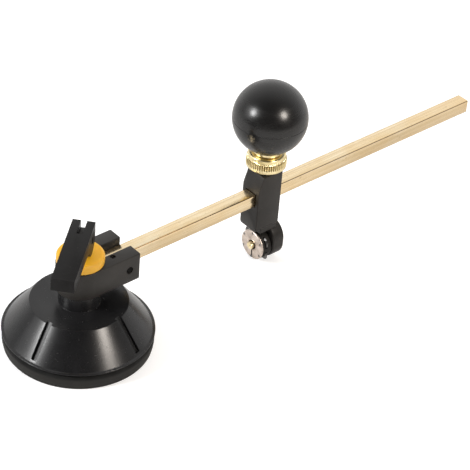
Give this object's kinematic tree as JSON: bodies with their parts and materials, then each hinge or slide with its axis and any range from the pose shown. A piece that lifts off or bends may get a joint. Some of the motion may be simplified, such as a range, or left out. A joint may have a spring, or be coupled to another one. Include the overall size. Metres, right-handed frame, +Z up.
{
  "type": "circle cutter",
  "caption": "Glass circle cutter: suction foot with cam lever and swivelling fork, square brass arm, sliding holder with ball grip, clamp nut and indexing turret of small cutting wheels.",
  "frame": {"origin": "centre of the bounding box in X and Y, at the height of the surface that the suction cup and the lowest cutting wheel stand on", "axes": "+X along the arm from the suction foot to the arm's free end, +Z up, +Y to the left when looking along the arm from the foot"},
  "size_m": [0.2892, 0.0726, 0.1027],
  "materials": {
    "rubber": "matt black rubber",
    "black_plastic": "moulded black plastic, satin to gloss",
    "ball_plastic": "polished black plastic",
    "yellow_plastic": "satin yellow plastic",
    "brass": "drawn and turned brass, satin",
    "steel": "plated steel, satin",
    "carbide": "ground hard metal"
  },
  "bodies": {
    "foot": {"rubber_cup": "rubber", "base_shell": "black_plastic", "pivot_post": "steel", "thrust_disc": "yellow_plastic"},
    "stem": {"suction_stem": "steel", "lever_pin": "steel"},
    "lever": {"suction_lever": "black_plastic"},
    "head": {"swivel_head": "black_plastic", "arm_pin": "steel", "fork_screw": "steel"},
    "arm": {"arm_bar": "brass"},
    "holder": {"cutter_holder": "black_plastic", "turret_lock_screw": "steel"},
    "turret": {"cutter_turret": "steel", "turret_screw": "steel", "wheel_pin_1": "steel", "wheel_pin_2": "steel", "wheel_pin_3": "steel", "wheel_pin_4": "steel", "wheel_pin_5": "steel", "wheel_pin_6": "steel"},
    "wheel_1": {"cutting_wheel_1": "carbide"},
    "wheel_2": {"cutting_wheel_2": "carbide"},
    "wheel_3": {"cutting_wheel_3": "carbide"},
    "wheel_4": {"cutting_wheel_4": "carbide"},
    "wheel_5": {"cutting_wheel_5": "carbide"},
    "wheel_6": {"cutting_wheel_6": "carbide"},
    "clamp": {"clamp_stud": "steel", "knurled_nut": "brass"},
    "knob": {"ball_knob": "ball_plastic", "knob_insert": "brass"}
  },
  "joints": [
    {"name": "stem_lift", "type": "slide", "parent": "foot", "child": "stem", "axis": [0, 0, 1], "range_m": [-0.0012, 0]},
    {"name": "lever_swing", "type": "hinge", "parent": "stem", "child": "lever", "pos_m": [-0.10835, 0, 0.0602], "axis": [-0.6561, 0.7547, 0], "range_deg": [0, 90]},
    {"name": "head_swivel", "type": "hinge", "parent": "foot", "child": "head", "pos_m": [-0.10835, 0, 0.0401], "axis": [0, 0, 1], "continuous": true},
    {"name": "arm_tilt", "type": "hinge", "parent": "head", "child": "arm", "pos_m": [-0.08815, 0, 0.04015], "axis": [0, -1, 0], "range_deg": [0, 12]},
    {"name": "holder_slide", "type": "slide", "parent": "arm", "child": "holder", "axis": [1, 0, 0], "range_m": [-0.05, 0.13]},
    {"name": "turret_index", "type": "hinge", "parent": "holder", "child": "turret", "pos_m": [0.00265, 0, 0.0096], "axis": [1, 0, 0], "continuous": true},
    {"name": "wheel_spin_1", "type": "hinge", "parent": "turret", "child": "wheel_1", "pos_m": [0.00265, 0, 0.0027], "axis": [1, 0, 0], "continuous": true},
    {"name": "wheel_spin_2", "type": "hinge", "parent": "turret", "child": "wheel_2", "pos_m": [0.00265, 0.00598, 0.00615], "axis": [1, 0, 0], "continuous": true},
    {"name": "wheel_spin_3", "type": "hinge", "parent": "turret", "child": "wheel_3", "pos_m": [0.00265, 0.00598, 0.01305], "axis": [1, 0, 0], "continuous": true},
    {"name": "wheel_spin_4", "type": "hinge", "parent": "turret", "child": "wheel_4", "pos_m": [0.00265, 0, 0.0165], "axis": [1, 0, 0], "continuous": true},
    {"name": "wheel_spin_5", "type": "hinge", "parent": "turret", "child": "wheel_5", "pos_m": [0.00265, -0.00598, 0.01305], "axis": [1, 0, 0], "continuous": true},
    {"name": "wheel_spin_6", "type": "hinge", "parent": "turret", "child": "wheel_6", "pos_m": [0.00265, -0.00598, 0.00615], "axis": [1, 0, 0], "continuous": true},
    {"name": "nut_turn", "type": "hinge", "parent": "holder", "child": "clamp", "pos_m": [0.00415, 0, 0.059], "axis": [0, 0, 1], "range_deg": [0, 180]},
    {"name": "ball_spin", "type": "hinge", "parent": "clamp", "child": "knob", "pos_m": [0.00415, 0, 0.084], "axis": [0, 0, 1], "continuous": true}
  ],
  "couplings": [
    {"joint": "stem_lift", "follows": "lever_swing", "m_per_rad": -0.00076}
  ]
}
